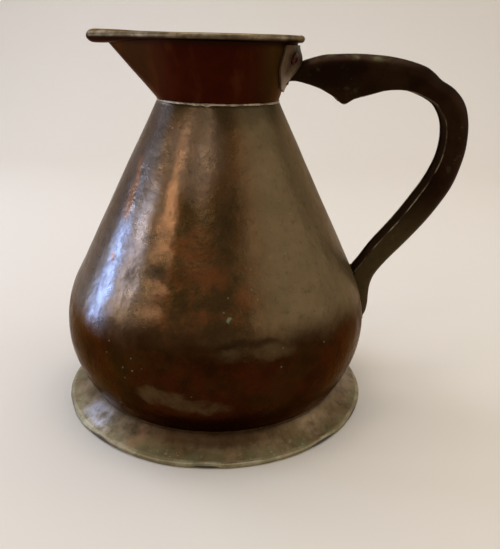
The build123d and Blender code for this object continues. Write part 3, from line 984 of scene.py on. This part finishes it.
def neck_finish():
    """Near-black red-brown patina of the neck, paler along the rubbed rim, with painted shade just
    under it.
    """
    f = Finish("neck_patina")
    height = f.z
    f.ragged(0.012, 40, seed=6.3)
    broad = f.cloud(26, 5, 0.6, seed=7.0)
    fine = f.cloud(160, 7, 0.7, seed=2.5)
    uprights = f.cloud(50, 5, 0.62, stretch=(1.0, 1.0, 0.15), seed=3.5)
    f.ground(broad.above(0.35, 0.7), (44, 9, 2), (54, 17, 4))
    side = f.x.above(0.014, 0.050) + f.x.below(-0.060, -0.030)
    f.paint(side.clamped() * 0.75, (46, 28, 9))
    f.paint(f.x.above(0.030, 0.055) * 0.6, (76, 56, 22))
    f.paint(uprights.above(0.5, 0.68) * 0.3, (84, 46, 20))
    # painted shade: a dark band just under the rolled rim
    under = height.above(RIM_HEIGHT - 8 * MM, RIM_HEIGHT - 3.5 * MM)
    f.paint(under * 0.85, (26, 12, 4))
    rim = height.above(RIM_HEIGHT - 2.0 * MM, RIM_HEIGHT + 1.0 * MM)
    f.paint(rim * 0.85, (112, 96, 72))
    rubbed = f.cloud(90, 6, 0.7, seed=8.5).above(0.40, 0.68)
    f.paint(rim * rubbed * 0.7, (160, 144, 120))
    f.paint(fine.above(0.5, 0.8) * 0.4, (24, 12, 5))
    rough = 0.26 + 0.14 * broad + 0.14 * fine
    grain = f.bump(fine, 0.00014, 0.6)
    f.set(color=f.base, metal=0.90, rough=rough, normal=grain, shine=0.2)
    f.set(tint=colour(200, 180, 160))
    return f.material


def plate_finish():
    """Paler, pinkish plate with painted shade beside the handle's root."""
    f = Finish("plate_patina")
    broad = f.cloud(70, 5, 0.62, seed=1.2)
    fine = f.cloud(180, 6, 0.7, seed=5.5)
    f.ground(broad.above(0.36, 0.66), (70, 50, 28), (104, 80, 56))
    pale_toe = f.z.below(0.280, 0.296) * f.azimuth.above(radians(-30), radians(-20))
    f.paint(pale_toe * 0.7, (150, 126, 102))
    green = f.cloud(110, 4, 0.6, seed=6.2).above(0.55, 0.70)
    f.paint(green * 0.4, (96, 100, 66))
    # painted shade beside the handle's root, at the top of the plate
    shade_beside_root = f.azimuth.above(radians(-24), radians(-15))
    shade_beside_root = shade_beside_root * f.azimuth.below(radians(15), radians(24))
    f.paint(shade_beside_root * f.z.above(0.292, 0.300) * 0.6, (48, 34, 20))
    f.paint(fine.above(0.5, 0.8) * 0.5, (44, 26, 14))
    rough = 0.34 + 0.18 * broad + 0.12 * fine
    grain = f.bump(fine, 0.0002, 0.7)
    f.set(color=f.base, metal=0.6, rough=rough, normal=grain, shine=0.3)
    return f.material


def rivet_finish():
    """Dark red copper of the rivets, mottled by fine noise."""
    f = Finish("rivet_patina")
    fine = f.cloud(240, 6, 0.7, seed=3.3)
    f.ground(fine.above(0.4, 0.7), (66, 27, 16), (38, 18, 11))
    grain = f.bump(fine, 0.0002, 0.7)
    f.set(color=f.base, metal=0.75, rough=0.28 + 0.2 * fine, normal=grain, shine=0.3)
    return f.material


def foot_finish():
    """Greyed copper of the foot, greener towards its edge, with a worn bead."""
    f = Finish("foot_patina")
    radius = f.radius
    f.ragged(0.012, 40, seed=8.3)
    broad = f.cloud(22, 5, 0.6, seed=3.0)
    mottle = f.cloud(60, 6, 0.66, seed=8.0)
    fine = f.cloud(170, 7, 0.74, seed=6.0)
    f.ground(broad.above(0.38, 0.62), (112, 90, 60), (148, 124, 94))
    f.paint(mottle.above(0.44, 0.64) * 0.7, (78, 62, 38))
    # painted reflection: a bluish-white window glint on the front left of the skirt
    window_glint = f.sector(-148, -134, 4) * radius.above(0.113, 0.122) * radius.below(0.130, 0.136)
    f.paint(window_glint * mottle.below(0.34, 0.70) * 0.5, (180, 180, 196))
    copper = f.sector(-119, -115.5, 1.8) * radius.below(0.126, 0.137)
    f.paint(copper * mottle.below(0.40, 0.75) * 0.6, (176, 128, 98))
    # painted highlight: the outer part of the skirt paler at the front
    front_sheen = f.sector(-122, -80, 6) * radius.above(0.121, 0.127)
    f.paint(front_sheen * broad.above(0.35, 0.6) * 0.4, (158, 128, 88))
    shaded = f.sector(-112, -66, 10) * radius.below(0.119, 0.127)
    f.paint(shaded * 0.5, (92, 56, 26))
    edge = radius.above(0.122, 0.134)
    green = edge * f.cloud(46, 5, 0.65, seed=1.5).above(0.44, 0.60)
    f.paint(green * 0.6, (118, 116, 80))
    crumbs = edge * f.cloud(230, 4, 0.7, seed=2.7).above(0.58, 0.66)
    f.paint(crumbs * 0.6, (166, 156, 116))
    bead = radius.above(FOOT_RADIUS - 4.8 * MM, FOOT_RADIUS - 3.2 * MM)
    f.paint(bead * 0.55, (150, 138, 106))
    rubbed = bead * f.cloud(60, 4, 0.65, seed=4.5).above(0.44, 0.62)
    f.paint(rubbed * 0.5, (184, 174, 142))
    f.paint(fine.above(0.5, 0.8) * 0.5, (54, 40, 24))
    # painted shade where the skirt runs in under the belly
    inner = radius.below(0.1125, 0.119)
    f.paint(inner * 0.75, (34, 18, 8))
    rough = 0.24 + 0.16 * broad + 0.15 * green + 0.14 * fine
    dirt = f.bump(fine, 0.0003, 0.7)
    f.set(color=f.base, metal=0.82, rough=rough, normal=dirt, shine=0.3)
    return f.material


def handle_finish():
    """Near-black handle, browner low down, with greenish crust and a painted highlight along its
    top.
    """
    f = Finish("handle_patina")
    broad = f.cloud(30, 5, 0.6, seed=4.0)
    fine = f.cloud(190, 7, 0.72, seed=7.5)
    mark = f.node("ShaderNodeAttribute", {"attribute_name": "mark"}, {})["Fac"]
    f.ground(broad.above(0.4, 0.7), (28, 12, 3), (42, 25, 10))
    low = f.z.below(0.14, 0.20)
    f.paint(low * 0.75, (66, 54, 32))
    # greenish-grey crust along the top, with a painted highlight where the top faces the light
    top = f.z.above(0.298, 0.304)
    dust_and_sheen = f.cloud(70, 5, 0.6, seed=1.7).above(0.40, 0.6)
    f.paint(top * dust_and_sheen * 0.6, (84, 84, 60))
    strap = mark.above(0.7, 0.95)
    f.paint(strap * 0.9, (20, 16, 8))
    edge = mark.above(0.15, 0.4) * mark.below(0.6, 0.8)
    rubbed = f.cloud(60, 4, 0.6, seed=5.2).above(0.38, 0.6)
    f.paint(edge * rubbed * 0.8, (150, 138, 104))
    green = f.cloud(90, 5, 0.68, seed=2.2).above(0.60, 0.72)
    f.paint(green * 0.25, (84, 84, 58))
    f.paint(fine.above(0.5, 0.8) * 0.5, (14, 8, 3))
    rough = 0.24 + 0.14 * broad + 0.16 * fine + 0.16 * strap
    grain = f.bump(fine, 0.0002, 0.7)
    f.set(color=f.base, metal=0.7 + 0.25 * strap, rough=rough, normal=grain, shine=0.2)
    f.set(tint=colour(190, 176, 160))
    return f.material


def solder_finish():
    """Dull pale solder with a grey skin."""
    f = Finish("solder_line")
    broad = f.cloud(160, 5, 0.6, seed=5.0)
    f.ground(broad.above(0.35, 0.7), (186, 168, 140), (104, 88, 64))
    skin = f.bump(broad, 0.0003, 0.6)
    f.set(color=f.base, metal=0.6, rough=0.42 + 0.2 * broad, normal=skin)
    return f.material


def wire_finish():
    """Plain iron wire."""
    f = Finish("iron_wire")
    broad = f.cloud(200, 4, 0.6, seed=6.5)
    f.ground(broad, (70, 62, 56), (96, 84, 74))
    f.set(color=f.base, metal=0.9, rough=0.5 + 0.1 * broad)
    return f.material


# ---- dressing the jug --------------------------------------------------------------------------
def dress(piece, material, slot, *nodes):
    """Gives a new piece its finish and hides the plain nodes that it stands for."""
    piece.data.materials.clear()
    piece.data.materials.append(material)
    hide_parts(*nodes)


def finish_node(name, material):
    """Gives a carried-over node its finish."""
    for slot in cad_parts[name].material_slots:
        slot.material = material


body_patina = body_finish()
neck_patina = neck_finish()
foot_patina = foot_finish()
plate_patina = plate_finish()
handle_patina = handle_finish()
solder = solder_finish()
iron = wire_finish()

dress(make_body(), body_patina, "copper", "body_shell")
dress(make_foot(), foot_patina, "foot_copper", "foot_skirt")
dress(make_neck(), neck_patina, "neck_copper", "neck_funnel")
dress(make_handle(), handle_patina, "handle_copper", "handle_shell", "handle_strap")
dress(make_plate(), plate_patina, "neck_copper", "handle_plate")
dress(make_rivets(), rivet_finish(), "copper", "plate_rivets")
dress(make_waist_solder(), solder, "solder", "waist_solder")

finish_node("bottom_disc", body_patina)
finish_node("rivet_burrs", body_patina)
finish_node("bottom_solder", solder)
finish_node("root_solder", handle_patina)
finish_node("tail_solder", handle_patina)
finish_node("foot_solder", foot_patina)
finish_node("rim_wire", iron)
finish_node("foot_wire", iron)


# ---- stage, lights and camera ------------------------------------------------------------------
# the stage runs level from its front, then bends up to its back
STAGE_FRONT, STAGE_BACK, STAGE_TOP = -2.2, 1.6, 3.0
STAGE_WIDTH = 8.0
STAGE_BEND = 0.5

# name: place, width and height, watts, tint
LAMPS = {
    "low_window": ((-1.38, 0.19, 0.30), (0.20, 0.56), 6.4, (0.42, 0.60, 1.0)),
    "high_window": ((-1.16, 0.78, 1.12), (0.60, 0.50), 6.5, (0.60, 0.74, 1.0)),
    "grey_window": ((-1.35, -0.30, 0.55), (0.20, 0.50), 1.8, (0.96, 0.95, 1.0)),
    "warm_panel": ((-1.10, -0.86, 1.02), (0.26, 0.60), 1.6, (1.0, 0.86, 0.74)),
    "front_panel": ((-0.42, -1.30, 1.36), (0.34, 0.42), 1.2, (1.0, 0.95, 0.90)),
    "right_wall": ((1.60, -0.55, 0.95), (2.9, 1.5), 11, (1.0, 0.96, 0.88)),
    "ceiling": ((0.0, 0.3, 2.4), (2.4, 1.8), 36, (1.0, 0.96, 0.90)),
}
LAMPS_FACE = (0, 0, 0.14)
ROOM_TINT = (0.94, 0.91, 0.86, 1.0)
ROOM_STRENGTH = 0.26

# the camera: sensor and lens in millimetres, its place in metres, its turns in degrees
SENSOR_WIDTH = 36.0
LENS = 40.8
EYE = (0.0255, -0.5377, 0.3134)
SWING, NOD, TILT = -0.5, 90 - 20.63, 1.47


def make_stage():
    """Pale floor that curves up into a backdrop."""
    form = bmesh.new()
    bend = (STAGE_BACK - STAGE_BEND, STAGE_BEND)
    line = [(STAGE_FRONT, 0.0), (bend[0], 0.0)]
    line += arc_points(bend, STAGE_BEND, -pi / 2, 0, 14) + [(STAGE_BACK, STAGE_TOP)]
    points = [form.verts.new((-STAGE_WIDTH / 2, y, z)) for y, z in line]
    edges = [form.edges.new(pair) for pair in zip(points, points[1:])]
    wide = bmesh.ops.extrude_edge_only(form, edges=edges)["geom"]
    far_side = [item for item in wide if isinstance(item, bmesh.types.BMVert)]
    bmesh.ops.translate(form, vec=(STAGE_WIDTH, 0, 0), verts=far_side)
    bmesh.ops.remove_doubles(form, verts=form.verts, dist=WELD)
    bmesh.ops.recalc_face_normals(form, faces=form.faces)
    stage = new_object("stage", form)
    paint = Finish("stage_paint")
    paint.set(color=colour(224, 216, 206), metal=0.0, rough=0.7)
    stage.data.materials.append(paint.material)
    stage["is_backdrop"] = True


def area_light(name, place, size, watts, tint):
    """A soft rectangular lamp that faces the jug."""
    lamp = bpy.data.lights.new(name, "AREA")
    lamp.shape = "RECTANGLE"
    lamp.size, lamp.size_y = size
    lamp.energy = watts
    lamp.color = tint
    holder = bpy.data.objects.new(name, lamp)
    direction = Vector(LAMPS_FACE) - Vector(place)
    facing = direction.to_track_quat("-Z", "Y").to_matrix().to_4x4()
    holder.matrix_world = Matrix.Translation(place) @ facing
    holder.visible_camera = False
    bpy.context.collection.objects.link(holder)


def make_lights():
    """Cool windows to the left, panels beside them, a soft wall of light to the right."""
    for name, (place, size, watts, tint) in LAMPS.items():
        area_light(name, place, size, watts, tint)
    world = bpy.data.worlds.new("room")
    world.use_nodes = True
    background = world.node_tree.nodes["Background"]
    background.inputs["Color"].default_value = ROOM_TINT
    background.inputs["Strength"].default_value = ROOM_STRENGTH
    bpy.context.scene.world = world


def make_camera():
    """Camera about level with the rim, looking down at the jug from its near side."""
    camera = bpy.data.cameras.new("camera")
    camera.sensor_width = SENSOR_WIDTH
    camera.lens = LENS
    camera.clip_start = 0.01
    holder = bpy.data.objects.new("camera", camera)
    swing = Matrix.Rotation(radians(SWING), 4, "Z")
    nod = Matrix.Rotation(radians(NOD), 4, "X")
    tilt = Matrix.Rotation(radians(TILT), 4, "Z")
    holder.matrix_world = Matrix.Translation(EYE) @ swing @ nod @ tilt
    bpy.context.collection.objects.link(holder)
    bpy.context.scene.camera = holder
    bpy.context.scene.view_settings.view_transform = "Standard"


make_stage()
make_lights()
make_camera()

sizes = [[list(corner) for corner in box] for box in (frame_bounds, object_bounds())]
